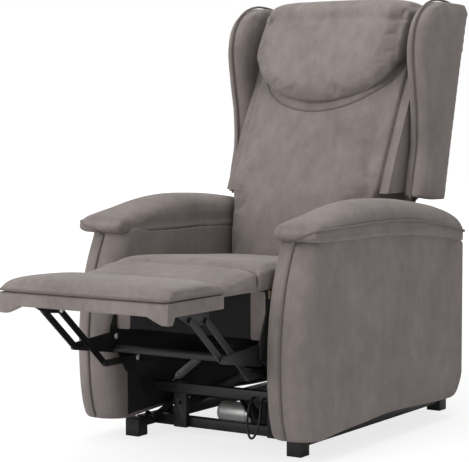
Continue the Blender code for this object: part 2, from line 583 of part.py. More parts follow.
def rear_line(z, inward=0.0):
    """y of the leaning rear surface at height z, moved forward by a layer's thickness."""
    return TOP_REAR[0] + (z - TOP_REAR[1]) * math.tan(BACK_LEAN) - inward / math.cos(BACK_LEAN)


def leaning_panel(name, finish, inward, thickness, low, top):
    """A panel of the back: narrow between the arms and wide between the wings."""
    outline = [(-NECK_HALF, low), (NECK_HALF, low), (NECK_HALF, WING_LOW), (SHOULDER_HALF, WING_LOW),
               (SHOULDER_HALF, top - 0.05), (SHOULDER_HALF - 0.05, top), (0.05 - SHOULDER_HALF, top),
               (-SHOULDER_HALF, top - 0.05), (-SHOULDER_HALF, WING_LOW), (-NECK_HALF, WING_LOW)]
    sections = [[(x, rear_line(z, layer), z) for x, z in outline] for layer in (inward, inward + thickness)]
    piece(name, finish, loft(sections), pivot=RECLINE_PIVOT)


leaning_panel("outside_back", FABRIC, 0.0, BACK_COVER, BACK_LOW, BACK_TOP)
FRAME_IN = BACK_COVER + GAP
leaning_panel("back_frame", TIMBER, FRAME_IN, BACK_FRAME, BACK_LOW, BACK_TOP - 0.01)
CUSHION_BACK = FRAME_IN + BACK_FRAME + GAP
HEAD_LOW, HEAD_TOP = (0.252, 0.800), (0.3645, 1.070)     # the cushion's straight upper front
CUSHION_FRONT = [(0.096, 0.360), (0.108, 0.440), (0.113, 0.520), (0.133, 0.600), (0.180, 0.680),
                 HEAD_LOW, HEAD_TOP]
cushion_rear = [(rear_line(z, CUSHION_BACK), z) for y, z in CUSHION_FRONT[::-1]]
piece("back_cushion", FABRIC, prism(CUSHION_FRONT + cushion_rear, -NECK_HALF, NECK_HALF),
      pivot=RECLINE_PIVOT)


def headrest():
    """A half-round pillow in front of the cushion's upper part."""
    half, drop, middle, top = 0.228, 0.165, 1.000, 1.120
    outline = [(half * math.cos(a), middle + drop * math.sin(a))
               for a in (math.pi + math.pi * step / 12 for step in range(13))]
    outline += [(0.222, 1.060), (0.170, top), (-0.170, top), (-0.222, 1.060)]

    def front_line(z, forward):
        slope = (HEAD_TOP[0] - HEAD_LOW[0]) / (HEAD_TOP[1] - HEAD_LOW[1])
        return HEAD_LOW[0] + (z - HEAD_LOW[1]) * slope - forward
    sections = [[(x, front_line(z, forward), z) for x, z in outline] for forward in (0.055, 2 * GAP)]
    piece("headrest", FABRIC, loft(sections), pivot=RECLINE_PIVOT)


headrest()
WING_FRONT = [(0.250, WING_LOW + 0.004), (0.262, 0.660), (0.280, 0.735), (0.278, 0.820), (0.264, 0.900),
              (0.251, 0.980), (0.265, 1.050), (0.320, 1.100), (0.395, 1.122), (0.480, 1.116)]
WING_REAR = [TOP_REAR, (rear_line(0.592), 0.592)]
for side_name, side_sign in SIDES:
    piece(f"wing_{side_name}", FABRIC,
          prism(WING_FRONT + WING_REAR, *sorted((side_sign * WING_IN, side_sign * WING_OUT))),
          pivot=RECLINE_PIVOT)
    outer, inner = side_sign * LIFT_OUT, side_sign * LIFT_IN
    corners = [(rear_line(0.50, FRAME_IN), 0.50), (rear_line(0.50, FRAME_IN + BACK_FRAME), 0.50)]
    piece(f"recline_bracket_{side_name}", BLACK_STEEL,
          plate([(*RECLINE_PIVOT, 0.016), (*RECLINE_BAR, 0.012)], outer, inner, corners=corners),
          cut=[hole(RECLINE_PIVOT, outer, inner)], pivot=RECLINE_PIVOT)
piece("recline_bar", BLACK_STEEL, rod_x(RECLINE_BAR, -(LIFT_IN - GAP), LIFT_IN - GAP, RECLINE_BAR_RADIUS),
      pivot=RECLINE_PIVOT)
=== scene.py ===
import json
import math

import bmesh
import bpy
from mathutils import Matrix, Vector
from mathutils.bvhtree import BVHTree


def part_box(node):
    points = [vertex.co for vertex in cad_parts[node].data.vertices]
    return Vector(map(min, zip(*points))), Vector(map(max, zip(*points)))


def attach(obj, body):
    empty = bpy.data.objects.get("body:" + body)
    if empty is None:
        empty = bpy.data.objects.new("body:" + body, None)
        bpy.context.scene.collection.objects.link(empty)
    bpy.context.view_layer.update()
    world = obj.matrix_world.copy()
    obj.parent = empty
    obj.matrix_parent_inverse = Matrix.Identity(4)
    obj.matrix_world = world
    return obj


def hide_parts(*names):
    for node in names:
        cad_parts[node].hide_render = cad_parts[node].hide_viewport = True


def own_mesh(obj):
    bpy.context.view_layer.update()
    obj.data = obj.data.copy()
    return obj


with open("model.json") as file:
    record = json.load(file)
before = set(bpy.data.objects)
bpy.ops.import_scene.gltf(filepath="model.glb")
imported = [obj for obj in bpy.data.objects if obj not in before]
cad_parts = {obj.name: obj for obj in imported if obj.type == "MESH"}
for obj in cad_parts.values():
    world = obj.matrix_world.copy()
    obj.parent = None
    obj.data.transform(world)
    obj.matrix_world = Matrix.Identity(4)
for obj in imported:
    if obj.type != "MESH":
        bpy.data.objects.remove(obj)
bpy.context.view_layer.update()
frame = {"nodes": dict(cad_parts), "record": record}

# ---- Camera ------------------------------------------------------------------------------------
# The chair is seen from its front left at a little below eye height, through a long lens.
# CHAIR_Y is where the seat's own zero lies in the frame: every place along the chair counts from it.
CHAIR_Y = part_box("seat_cushion")[0].y + 0.400
AZIMUTH, DROP = math.radians(33.0), math.radians(4.0)
FOCAL_PIXELS, FRAME_PIXELS, SENSOR = 1655.0, 469, 36.0
bpy.ops.object.camera_add(location=(2.25, -3.63 + CHAIR_Y, 0.815))
camera = bpy.context.object
looking = Vector((-math.sin(AZIMUTH) * math.cos(DROP), math.cos(AZIMUTH) * math.cos(DROP), -math.sin(DROP)))
camera.rotation_euler = looking.to_track_quat("-Z", "Y").to_euler()
camera.data.sensor_width = SENSOR
camera.data.lens = FOCAL_PIXELS / FRAME_PIXELS * SENSOR
bpy.context.scene.camera = camera


# ---- Finishes ----------------------------------------------------------------------------------
# The chair is covered in a brushed suede-look microfibre over foam, on a black powder-coated frame
# with zinc-plated springs and moulded black plastic. Each finish is a set of shader nodes.
class Wire:
    """A shader value on which Python's operators add Math nodes."""

    def __init__(self, finish, socket):
        self.finish = finish
        self.socket = socket

    def worked_out(self, operation, first, second):
        return self.finish.add("Math", {"operation": operation}, {0: first, 1: second})

    def __add__(self, other):
        return self.worked_out("ADD", self, other)

    def __mul__(self, other):
        return self.worked_out("MULTIPLY", self, other)



class Finish:
    """A material whose nodes are added one by one."""

    def __init__(self, name):
        self.material = bpy.data.materials.new(name)
        self.material.use_nodes = True
        self.nodes = self.material.node_tree.nodes
        self.links = self.material.node_tree.links
        self.shader = self.nodes["Principled BSDF"]
        self.place = self.add("TexCoord", {}, {}, "Object")

    def feed(self, socket, value):
        if isinstance(value, Wire):
            self.links.new(value.socket, socket)
        else:
            socket.default_value = value

    def add(self, kind, settings, values, output=0):
        made = self.nodes.new("ShaderNode" + kind)
        for key, value in settings.items():
            setattr(made, key, value)
        for key, value in values.items():
            self.feed(made.inputs[key], value)
        return Wire(self, made.outputs[output])

    def noise(self, scale, detail=3.0, roughness=0.5, place=None):
        return self.add("TexNoise", {}, {"Vector": place or self.place, "Scale": scale, "Detail": detail,
                                         "Roughness": roughness}, "Fac")

    def stretched(self, factors):
        return self.add("Mapping", {}, {"Vector": self.place, "Scale": factors})

    def blend(self, share, dark, light):
        return self.add("Mix", {"data_type": "RGBA"}, {0: share, 6: (*dark, 1), 7: (*light, 1)}, 2)

    def steepen(self, value, low, high):
        return self.add("MapRange", {"clamp": True}, {"Value": value, "From Min": low, "From Max": high})

    def bump(self, height, distance, strength=1.0):
        bumped = self.add("Bump", {}, {"Height": height, "Distance": distance, "Strength": strength})
        self.set("Normal", bumped)

    def set(self, name, value):
        self.feed(self.shader.inputs[name], value)


def microfibre(name, dark, light):
    """Brushed microfibre: a matt cloth with a fine nap whose strokes and hand marks vary the shade."""
    cloth = Finish(name)
    marks = cloth.noise(7.0, 3.0, 0.55)
    strokes = cloth.noise(42.0, 3.0, 0.6, cloth.stretched((1.0, 0.7, 0.45)))
    grain = cloth.noise(1500.0, 2.0, 0.7)
    pile = cloth.noise(420.0, 2.0, 0.6)
    shade = cloth.steepen(marks * 0.34 + strokes * 0.26 + pile * 0.24 + grain * 0.16, 0.38, 0.62)
    cloth.set("Base Color", cloth.blend(shade, dark, light))
    cloth.set("Roughness", cloth.steepen(strokes, 0.2, 0.8) * 0.10 + 0.84)
    cloth.set("Sheen Weight", 0.22)
    cloth.set("Sheen Roughness", 0.45)
    cloth.set("Sheen Tint", (0.95, 0.90, 0.87, 1))
    cloth.set("Specular IOR Level", 0.25)
    cloth.bump(grain * 0.4 + pile * 0.5 + strokes * 0.5, 0.0009, 0.8)
    return cloth.material


FABRIC = microfibre("suede_microfibre", (0.150, 0.127, 0.120), (0.245, 0.211, 0.200))
# The piping is the same microfibre coloured darker: painted shade that stands in for the dark line of shadow
# the piping casts along every piped seam.
PIPING_PAINTED_SHADE = microfibre("piping_microfibre_painted_shade", (0.118, 0.098, 0.092), (0.160, 0.134, 0.127))


def lining_cloth():
    """Black non-woven lining: matt, with a faint pressed grid."""
    cloth = Finish("black_lining_cloth")
    weave = cloth.noise(700.0, 2.0, 0.6)
    cloth.set("Base Color", cloth.blend(weave, (0.005, 0.005, 0.0055), (0.013, 0.013, 0.0135)))
    cloth.set("Roughness", weave * 0.1 + 0.85)
    cloth.bump(weave, 0.0004, 0.5)
    return cloth.material


def powder_coat():
    """Black powder coat: satin, with orange peel and a little dust on it."""
    coat = Finish("black_powder_coat")
    peel = coat.noise(900.0, 2.0, 0.5)
    dust = coat.noise(14.0, 4.0, 0.6)
    dusty = coat.steepen(dust, 0.4, 0.75)
    coat.set("Base Color", coat.blend(dusty, (0.007, 0.007, 0.0075), (0.017, 0.0165, 0.016)))
    coat.set("Roughness", coat.steepen(dust, 0.3, 0.7) * 0.18 + 0.36)
    coat.set("Coat Weight", 0.05)
    coat.bump(peel, 0.00025, 0.4)
    return coat.material


def zinc_plate():
    """Zinc plating: a bright grey metal with cloudy patches and fine drawing lines."""
    plate = Finish("zinc_plate")
    clouds = plate.noise(60.0, 4.0, 0.6)
    lines = plate.noise(220.0, 2.0, 0.5, plate.stretched((0.1, 1.0, 1.0)))
    plate.set("Base Color", plate.blend(clouds, (0.74, 0.74, 0.73), (0.90, 0.90, 0.88)))
    plate.set("Metallic", 0.75)
    plate.set("Roughness", clouds * 0.2 + lines * 0.1 + 0.28)
    plate.bump(lines, 0.0002, 0.3)
    return plate.material


def moulded_plastic():
    """Black moulded plastic with a spark-eroded grain."""
    plastic = Finish("moulded_plastic")
    grain = plastic.noise(1100.0, 2.0, 0.6)
    scuffs = plastic.noise(25.0, 4.0, 0.6)
    plastic.set("Base Color", plastic.blend(scuffs, (0.008, 0.008, 0.0085), (0.018, 0.018, 0.018)))
    plastic.set("Roughness", scuffs * 0.2 + 0.40)
    plastic.bump(grain, 0.0003, 0.4)
    return plastic.material


def plywood():
    """Birch plywood: pale face with long dark grain."""
    board = Finish("plywood")
    grain = board.noise(30.0, 5.0, 0.6, board.stretched((0.15, 1.0, 3.0)))
    board.set("Base Color", board.blend(grain, (0.16, 0.11, 0.07), (0.27, 0.20, 0.13)))
    board.set("Roughness", grain * 0.2 + 0.6)
    board.bump(grain, 0.0004, 0.4)
    return board.material


LINING = lining_cloth()
STEEL = powder_coat()
ZINC = zinc_plate()
PLASTIC = moulded_plastic()
PLYWOOD = plywood()

# ---- Cable loop --------------------------------------------------------------------------------
# A short black cable hangs in a loop from the lower cross bar and goes back into it beside itself.
# It is limp, 6 mm thick, and both its ends run on inside the bar.
CABLE_THICK = 0.006
CABLE_ROUTE = [
    (0.121, -0.2140, 0.120), (0.121, -0.222, 0.120), (0.122, -0.234, 0.107), (0.123, -0.242, 0.078),
    (0.120, -0.247, 0.053), (0.113, -0.249, 0.033), (0.104, -0.250, 0.026), (0.096, -0.249, 0.033),
    (0.090, -0.247, 0.053), (0.088, -0.242, 0.078), (0.089, -0.234, 0.107), (0.090, -0.222, 0.120),
    (0.090, -0.2140, 0.120)]


def between(route, pieces):
    """Points on a Catmull-Rom curve through a route, some on each stretch of it."""
    ends = [route[0], *route, route[-1]]
    points = []
    for i in range(len(route) - 1):
        p0, p1, p2, p3 = (Vector(p) for p in ends[i:i + 4])
        for k in range(pieces):
            t = k / pieces
            points.append(0.5 * (2 * p1 + (p2 - p0) * t + (2 * p0 - 5 * p1 + 4 * p2 - p3) * t ** 2
                                 + (3 * p1 - p0 - 3 * p2 + p3) * t ** 3))
    return points + [Vector(route[-1])]


def length_of(points):
    return sum((b - a).length for a, b in zip(points, points[1:]))


def tube(name, points, radius, finish, closed=False, sides=3):
    """A round cord along points, as a curve with a bevel."""
    curve = bpy.data.curves.new(name, "CURVE")
    curve.dimensions = "3D"
    curve.bevel_depth = radius
    curve.bevel_resolution = sides
    curve.use_fill_caps = True
    spline = curve.splines.new("POLY")
    spline.points.add(len(points) - 1)
    for point, place in zip(spline.points, points):
        point.co = (*place, 1)
    spline.use_cyclic_u = closed
    spline.use_smooth = True
    made = bpy.data.objects.new(name, curve)
    bpy.context.collection.objects.link(made)
    curve.materials.append(finish)
    return made


cable_points = [p + Vector((0, CHAIR_Y, 0)) for p in between(CABLE_ROUTE, 3)]
cable = tube("hanging_cable", cable_points, CABLE_THICK / 2, PLASTIC)
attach(cable, "chassis")
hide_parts("cable_loop")
round(length_of(cable_points), 3)

# ---- Steel frame, links and boards -------------------------------------------------------------
# The frame parts are laser-cut plates and tubes, powder coated black, with their cut edges broken.
# Each one keeps the frame's own shape and takes a small bevel on its edges.
EDGE_BREAK = 0.0005
REPLACED = ("arm_", "wing_", "spring_left", "spring_right")
SOFT_NODES = {"seat_cushion", "bridge_pad", "footrest_pad", "footrest_board", "back_cushion", "headrest",
              "outside_back", "cable_loop", "recline_motor"}
FINISH_OF_SLOT = {"black_steel": STEEL, "zinc": ZINC, "black_plastic": PLASTIC, "plywood": PLYWOOD,
                  "lining": LINING, "upholstery": FABRIC}
slot_of = {part["node"]: part["material_slot"] for part in frame["record"]["subparts"]}
body_of = {node: body for body, nodes in frame["record"]["behaviour"]["bodies"].items() for node in nodes}


def only(thing):
    """Selects one object and makes it active."""
    bpy.ops.object.select_all(action="DESELECT")
    thing.select_set(True)
    bpy.context.view_layer.objects.active = thing


def smooth_by_angle(thing, degrees):
    only(thing)
    bpy.ops.object.shade_smooth_by_angle(angle=math.radians(degrees))


def apply_all(thing):
    only(thing)
    for change in list(thing.modifiers):
        bpy.ops.object.modifier_apply(modifier=change.name)


def broken_edges(node):
    """A copy of a frame part with its faces joined and its edges broken."""
    made = bpy.data.objects.new(node + "_finished", frame["nodes"][node].data.copy())
    bpy.context.collection.objects.link(made)
    shape = bmesh.new()
    shape.from_mesh(made.data)
    bmesh.ops.remove_doubles(shape, verts=shape.verts, dist=0.00001)
    bmesh.ops.dissolve_limit(shape, angle_limit=math.radians(1), verts=shape.verts, edges=shape.edges)
    shape.to_mesh(made.data)
    shape.free()
    edge = made.modifiers.new("edge", "BEVEL")
    edge.width = EDGE_BREAK
    edge.segments = 2
    edge.limit_method = "ANGLE"
    edge.angle_limit = math.radians(40)
    apply_all(made)
    smooth_by_angle(made, 30)
    made.data.materials.clear()
    made.data.materials.append(FINISH_OF_SLOT[slot_of[node]])
    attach(made, body_of[node])
    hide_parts(node)


for node_name in sorted(frame["nodes"]):
    if node_name in SOFT_NODES or node_name.startswith(REPLACED):
        continue
    broken_edges(node_name)


# ---- Rivets and bolts --------------------------------------------------------------------------
# Flanged rivets close the link pivots on the inner side, and a small bolt holds each foot.
# They are zinc plated and blackened, low domes on a thin washer.
RIVET, RIVET_HIGH = 0.0062, 0.0026


def domed_head(name, place, towards, radius, high, finish, body):
    """A low dome on a washer, standing on a face and pointing along X or Z."""
    bpy.ops.mesh.primitive_uv_sphere_add(segments=20, ring_count=10, radius=radius)
    made = bpy.context.object
    made.name = name
    made.data.name = name
    for vertex in made.data.vertices:
        z = max(vertex.co.z, 0.0)
        rim = 1.25 if z < radius * 0.12 else 1.0
        vertex.co = Vector((vertex.co.x * rim, vertex.co.y * rim, z / radius * high))
    turn = Vector((0, 0, 1)).rotation_difference(Vector(towards)).to_matrix().to_4x4()
    made.data.transform(turn)
    made.data.transform(turn.Translation(Vector(place)))
    shape = bmesh.new()
    shape.from_mesh(made.data)
    bmesh.ops.remove_doubles(shape, verts=shape.verts, dist=0.00002)
    bmesh.ops.recalc_face_normals(shape, faces=shape.faces)
    shape.to_mesh(made.data)
    shape.free()
    smooth_by_angle(made, 40)
    made.data.materials.append(finish)
    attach(made, body)
    return made


joint_at = {joint["name"]: joint.get("pos_m") for joint in frame["record"]["behaviour"]["joints"]}
for side, sign in (("right", -1), ("left", 1)):
    link_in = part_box("front_link_left")[0].x
    long_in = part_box("long_link_left")[0].x
    bracket_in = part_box("footrest_bracket_left")[0].x
    guide_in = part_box("guide_link_left")[0].x
    heads = [("torque_pivot_rivet", "footrest_fold", link_in, "footrest_drive"),
             ("foot_inner_rivet", "footrest_level", bracket_in, "footrest"),
             ("guide_rivet", "guide_link_swing", guide_in, "guide_links")]
    for head, joint_name, face, body in heads:
        place = joint_at[joint_name]
        domed_head(f"{head}_{side}", (sign * face, place[1], place[2]), (-sign, 0, 0), RIVET, RIVET_HIGH,
                   ZINC, body)
    for end in ("front", "rear"):
        low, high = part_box(f"foot_{end}_{side}")
        middle = (low + high) / 2
        domed_head(f"foot_bolt_{end}_{side}", (middle.x, middle.y, high.z), (0, 0, 1), 0.006, 0.004,
                   ZINC, "base")


# ---- Tension springs ---------------------------------------------------------------------------
# Two close-wound zinc springs hook between the lower cross bar and the rail under the seat.
# Each is one wire: a hook, the coil and a hook.
SPRING_TURNS, WIRE, COIL = 15, 0.0015, 0.0092
for side in ("right", "left"):
    low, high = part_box(f"spring_{side}")
    x = (low.x + high.x) / 2
    start = Vector((x, low.y + 0.001, low.z + 0.005))
    end = Vector((x, high.y - 0.001, high.z - 0.005))
    way = (end - start).normalized()
    across = Vector((1, 0, 0))
    upward = way.cross(across)
    length = (end - start).length
    wire = [start, start.lerp(end, 0.06)]
    steps = SPRING_TURNS * 14
    for step in range(steps + 1):
        share = step / steps
        turn = share * SPRING_TURNS * 2 * math.pi
        along = start.lerp(end, 0.13 + 0.74 * share)
        taper = min(1.0, 6 * min(share, 1 - share) + 0.25)
        wire.append(along + (across * math.cos(turn) + upward * math.sin(turn)) * COIL * taper)
    wire += [start.lerp(end, 0.94), end]
    spring = tube(f"tension_spring_{side}", wire, WIRE, ZINC, sides=1)
    only(spring)
    bpy.ops.object.convert(target="MESH")
    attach(spring, "chassis")
    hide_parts(f"spring_{side}")

# ---- Recline motor -----------------------------------------------------------------------------
# The motor is a drawn zinc-plated can with a rolled rim at its gearbox end and a stepped end cap.
# It lies across the chair behind the lower cross bar.
low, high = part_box("recline_motor")
motor_middle = (low + high) / 2
motor_radius = (high.z - low.z) / 2
motor_steps = [(0.00, 0.30), (0.00, 0.42), (0.05, 0.44), (0.06, 0.80), (0.10, 0.93), (0.14, 0.97),
               (0.80, 0.97),
               (0.81, 1.00), (0.86, 1.00), (0.87, 0.94), (0.98, 0.94), (1.00, 0.90), (1.00, 0.30)]
shape = bmesh.new()
rings = []
for share, wide in motor_steps:
    x = low.x + share * (high.x - low.x)
    ring = []
    for step in range(48):
        turn = 2 * math.pi * step / 48
        ring.append(shape.verts.new((x, motor_middle.y + motor_radius * wide * math.cos(turn),
                                     motor_middle.z + motor_radius * wide * math.sin(turn))))
    rings.append(ring)
for near, far in zip(rings, rings[1:]):
    for i in range(48):
        j = (i + 1) % 48
        shape.faces.new((near[i], near[j], far[j], far[i]))
shape.faces.new(rings[0])
shape.faces.new(rings[-1])
bmesh.ops.recalc_face_normals(shape, faces=shape.faces)
mesh = bpy.data.meshes.new("recline_motor_can")
shape.to_mesh(mesh)
shape.free()
motor = bpy.data.objects.new("recline_motor_can", mesh)
bpy.context.collection.objects.link(motor)
smooth_by_angle(motor, 35)
motor.data.materials.append(ZINC)
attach(motor, "recline_actuator")
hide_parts("recline_motor")


# ---- Arms --------------------------------------------------------------------------------------
# An arm is a fabric-covered box whose front is a half round with an S-shaped side view.
# A piped seam runs down the middle of the front, and the bottom edge waves along the side.
def soft_block(name, cuts, place, finish=None):
    """A cube cut into a grid, each of whose points is then put in place."""
    bpy.ops.object.select_all(action="DESELECT")
    bpy.ops.mesh.primitive_cube_add(size=2)
    made = bpy.context.object
    made.name = name
    made.data.name = name
    bpy.ops.object.mode_set(mode="EDIT")
    bpy.ops.mesh.select_all(action="SELECT")
    bpy.ops.mesh.subdivide(number_cuts=cuts)
    bpy.ops.object.mode_set(mode="OBJECT")
    for vertex in made.data.vertices:
        vertex.co = place(*vertex.co)
    only(made)
    bpy.ops.object.mode_set(mode="EDIT")
    bpy.ops.mesh.select_all(action="SELECT")
    bpy.ops.mesh.normals_make_consistent(inside=False)
    bpy.ops.object.mode_set(mode="OBJECT")
    made.data.materials.append(finish or FABRIC)
    return made


def rounded(thing, levels=1):
    """Subdivision, applied, and smooth shading."""
    change = thing.modifiers.new("round", "SUBSURF")
    change.levels = levels
    change.render_levels = levels
    apply_all(thing)
    bpy.ops.object.shade_smooth()


def mirrored(thing, name):
    """The same piece for the other side, with its own mesh and its faces turned out."""
    made = bpy.data.objects.new(name, thing.data.copy())
    bpy.context.collection.objects.link(made)
    shape = bmesh.new()
    shape.from_mesh(made.data)
    for vertex in shape.verts:
        vertex.co.x = -vertex.co.x
    bmesh.ops.reverse_faces(shape, faces=shape.faces)
    shape.to_mesh(made.data)
    shape.free()
    return made


def follow(table, at):
    """The smooth curve through a table's (place, value) pairs, read at a place."""
    if at <= table[0][0]:
        return table[0][1]
    for i, (near, far) in enumerate(zip(table, table[1:])):
        if at <= far[0]:
            before = table[max(i - 1, 0)]
            after = table[min(i + 2, len(table) - 1)]
            width = far[0] - near[0]
            t = (at - near[0]) / width
            rise_near = (far[1] - before[1]) / (far[0] - before[0]) * width
            rise_far = (after[1] - near[1]) / (after[0] - near[0]) * width
            return ((2 * t ** 3 - 3 * t ** 2 + 1) * near[1] + (t ** 3 - 2 * t ** 2 + t) * rise_near
                    + (3 * t ** 2 - 2 * t ** 3) * far[1] + (t ** 3 - t ** 2) * rise_far)
    return table[-1][1]


def mix(low, high, share):
    return low + (high - low) * share


arm_low, arm_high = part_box("arm_left")
ARM_IN, ARM_OUT = arm_low.x, arm_high.x
ARM_MIDDLE = (ARM_IN + ARM_OUT) / 2
ARM_HALF = (ARM_OUT - ARM_IN) / 2
ARM_FRONT = [(0.050, -0.372), (0.080, -0.386), (0.120, -0.396), (0.170, -0.402), (0.240, -0.405),
             (0.310, -0.401), (0.395, -0.387), (0.460, -0.366), (0.520, -0.338)]
ARM_BOTTOM = [(-0.405, 0.054), (-0.360, 0.056), (-0.260, 0.062), (-0.136, 0.066), (0.000, 0.071),
              (0.100, 0.068), (0.270, 0.060), (0.390, 0.058), (0.455, 0.062)]
PAD_UNDER = [(-0.372, 0.530), (-0.350, 0.522), (-0.300, 0.519), (-0.150, 0.5165), (0.000, 0.5165),
             (0.120, 0.510), (0.240, 0.502), (0.340, 0.490), (0.430, 0.476), (0.456, 0.474)]
FRONT_DEPTH = 0.052


def arm_place(a, b, c):
    turn = a * math.pi / 2
    x = ARM_MIDDLE + ARM_HALF * math.sin(turn)
    rough = mix(-0.40, 0.455, (b + 1) / 2)
    low = follow(ARM_BOTTOM, rough)
    corner = max(0.0, (rough - 0.395) / 0.060)
    low += 0.050 * (1 - math.sqrt(max(0.0, 1 - min(corner, 1.0) ** 2)))
    z = mix(low, follow(PAD_UNDER, rough) + 0.002, (c + 1) / 2)
    front = follow(ARM_FRONT, z) + FRONT_DEPTH * (1 - math.cos(turn))
    y = mix(front, 0.455, (b + 1) / 2)
    if a > 0:
        x += 0.0015 * a ** 6 * (1 - b * b) * (1 - c * c)
    seam = math.exp(-((x - ARM_MIDDLE) / 0.007) ** 2)
    if b < -0.9:
        y += 0.003 * seam
    return Vector((x, y + CHAIR_Y, z))


arm = soft_block("arm_cover_left", 27, arm_place)
rounded(arm)
other_arm = mirrored(arm, "arm_cover_right")
piping_line = [Vector((ARM_MIDDLE, follow(ARM_FRONT, z) + CHAIR_Y - 0.0005, z))
               for z in (0.062 + 0.449 * step / 48 for step in range(49))]
arm_piping = tube("arm_front_piping_left", piping_line, 0.0030, PIPING_PAINTED_SHADE)
for side, cover in (("left", arm), ("right", other_arm)):
    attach(cover, "chassis")
    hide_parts(f"arm_{side}")


def as_mesh(thing):
    only(thing)
    bpy.ops.object.convert(target="MESH")
    bpy.ops.object.shade_smooth()
    return thing


def trim(thing, body):
    """A sewn-on trim of the same cloth, on a body."""
    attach(thing, body)


as_mesh(arm_piping)
trim(mirrored(arm_piping, "arm_front_piping_right"), "chassis")
trim(arm_piping, "chassis")


# ---- Arm linings -------------------------------------------------------------------------------
# Under the seat the arms' inner faces are covered with black lining cloth instead of the fabric.
# It starts a hand's width behind the front edge and hangs in soft folds.
for side, sign in (("right", -1), ("left", 1)):
    def lining_place(a, b, c, sign=sign):
        y = mix(-0.318, 0.400, (a + 1) / 2)
        z = mix(follow(ARM_BOTTOM, y) + 0.006, 0.400, (c + 1) / 2)
        fold = 0.0006 * math.sin(y * 90) * (1 - a * a)
        x = ARM_IN - mix(0.0022 + fold, -0.003, (b + 1) / 2)
        return Vector((sign * x, y + CHAIR_Y, z))
    lining = soft_block(f"arm_lining_{side}", 15, lining_place, LINING)
    smooth_by_angle(lining, 40)
    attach(lining, "chassis")

# ---- Padded pieces: swelling -------------------------------------------------------------------
# Foam under a sewn cover swells until the cloth pulls tight, so edges pull in between the corners.
# Each pad is blown up a little as cloth and no point moves further than the foam lets it.
def swell(thing, voxel, furthest, pressure=4.0, hold=None):
    """Remeshes a closed piece, inflates it as cloth, limits how far each point moved, and smooths it."""
    only(thing)
    mesh_again = thing.modifiers.new("again", "REMESH")
    mesh_again.mode = "VOXEL"
    mesh_again.voxel_size = voxel
    apply_all(thing)
    flat = [v.co.copy() for v in thing.data.vertices]
    cloth = thing.modifiers.new("swell", "CLOTH")
    cloth.settings.effector_weights.gravity = 0
    cloth.settings.use_pressure = True
    cloth.settings.uniform_pressure_force = pressure
    cloth.settings.quality = 4
    cloth.settings.tension_stiffness = 20
    cloth.settings.compression_stiffness = 20
    cloth.settings.bending_stiffness = 0.6
    cloth.collision_settings.use_collision = False
    cloth.point_cache.frame_start = 1
    cloth.point_cache.frame_end = 20
    scene = bpy.context.scene
    for number in range(1, 21):
        scene.frame_set(number)
    seen = thing.evaluated_get(bpy.context.evaluated_depsgraph_get())
    swollen = [v.co.copy() for v in seen.data.vertices]
    thing.modifiers.remove(cloth)
    scene.frame_set(1)
    for vertex, before, after in zip(thing.data.vertices, flat, swollen):
        move = after - before
        if move.length > furthest:
            move *= furthest / move.length
        vertex.co = before + move * (hold(before) if hold else 1.0)
    rounded(thing)


# ---- Arm pads ----------------------------------------------------------------------------------
# Each arm carries a crowned foam pad that ends in a rounded nose over the arm's front.
# Piping runs along its outer edge, above a boxing band.
PAD_PIPING = [(-0.372, 0.545), (-0.350, 0.549), (-0.300, 0.549), (-0.150, 0.552), (0.000, 0.553),
              (0.120, 0.549), (0.240, 0.536), (0.340, 0.521), (0.430, 0.506), (0.456, 0.500)]
PAD_CROWN = [(-0.372, 0.561), (-0.350, 0.567), (-0.310, 0.574), (-0.257, 0.583), (-0.200, 0.594),
             (-0.139, 0.602), (-0.070, 0.606), (0.000, 0.605), (0.120, 0.599), (0.240, 0.586), (0.340, 0.571),
             (0.430, 0.548), (0.456, 0.522)]
PAD_NOSE = -0.364
pad_low, pad_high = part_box("arm_pad_left")
PAD_MIDDLE = (pad_low.x + pad_high.x) / 2
PAD_HALF = (pad_high.x - pad_low.x) / 2 - 0.001


def pad_half(y):
    """Half width of the pad: full, but a little rounded in plan at the back."""
    tail = min(1.0, (0.459 - y) / 0.030)
    return PAD_HALF * math.sqrt(max(0.30, 1 - (1 - tail) ** 2))


def pad_place(a, b, c):
    turn = a * math.pi / 2
    share = (math.sin(b * math.pi / 2) + b + 2) / 4
    y = mix(PAD_NOSE, 0.456, share)
    recede = (0.022 if a < 0 else 0.012) * (1 - math.cos(turn))
    x = pad_half(y) * math.sin(turn)
    under, edge, crown = follow(PAD_UNDER, y) + 0.0005, follow(PAD_PIPING, y), follow(PAD_CROWN, y)
    if c > 0.999:
        z = edge + (crown - edge) * math.cos(turn)
    else:
        z = mix(under, edge, (c + 1) / 2)
    y += (recede + 0.012 * max(0.0, c) ** 4 + 0.004 * max(0.0, -c) ** 2) * (1 - share) ** 3
    return Vector((PAD_MIDDLE + x, y + CHAIR_Y, z))


arm_pad = soft_block("arm_pad_cover_left", 27, pad_place)
swell(arm_pad, 0.006, 0.004, 3.0, lambda co: 1.0 if co.z > 0.525 else 0.25)
other_pad = mirrored(arm_pad, "arm_pad_cover_right")
edge_line = [Vector((ARM_MIDDLE, follow(ARM_FRONT, z) + CHAIR_Y - 0.0005, z)) for z in (0.505, 0.515)]
for step in range(1, 13):
    turn = math.pi / 2 * step / 12
    x = mix(ARM_MIDDLE + 0.004, PAD_MIDDLE + PAD_HALF + 0.0012, math.sin(turn))
    y = PAD_NOSE - 0.001 + 0.030 * (1 - math.cos(turn))
    edge_line.append(Vector((x, y + CHAIR_Y, mix(0.526, 0.549, math.sin(turn)))))
for step in range(80):
    y = mix(-0.334, 0.440, step / 79)
    edge_line.append(Vector((PAD_MIDDLE + pad_half(y) + 0.0012, y + CHAIR_Y, follow(PAD_PIPING, y))))
pad_piping = as_mesh(tube("arm_pad_piping_left", edge_line, 0.0034, PIPING_PAINTED_SHADE))
trim(mirrored(pad_piping, "arm_pad_piping_right"), "chassis")
trim(pad_piping, "chassis")
for side, cover in (("left", arm_pad), ("right", other_pad)):
    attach(cover, "chassis")
    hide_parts(f"arm_pad_{side}")

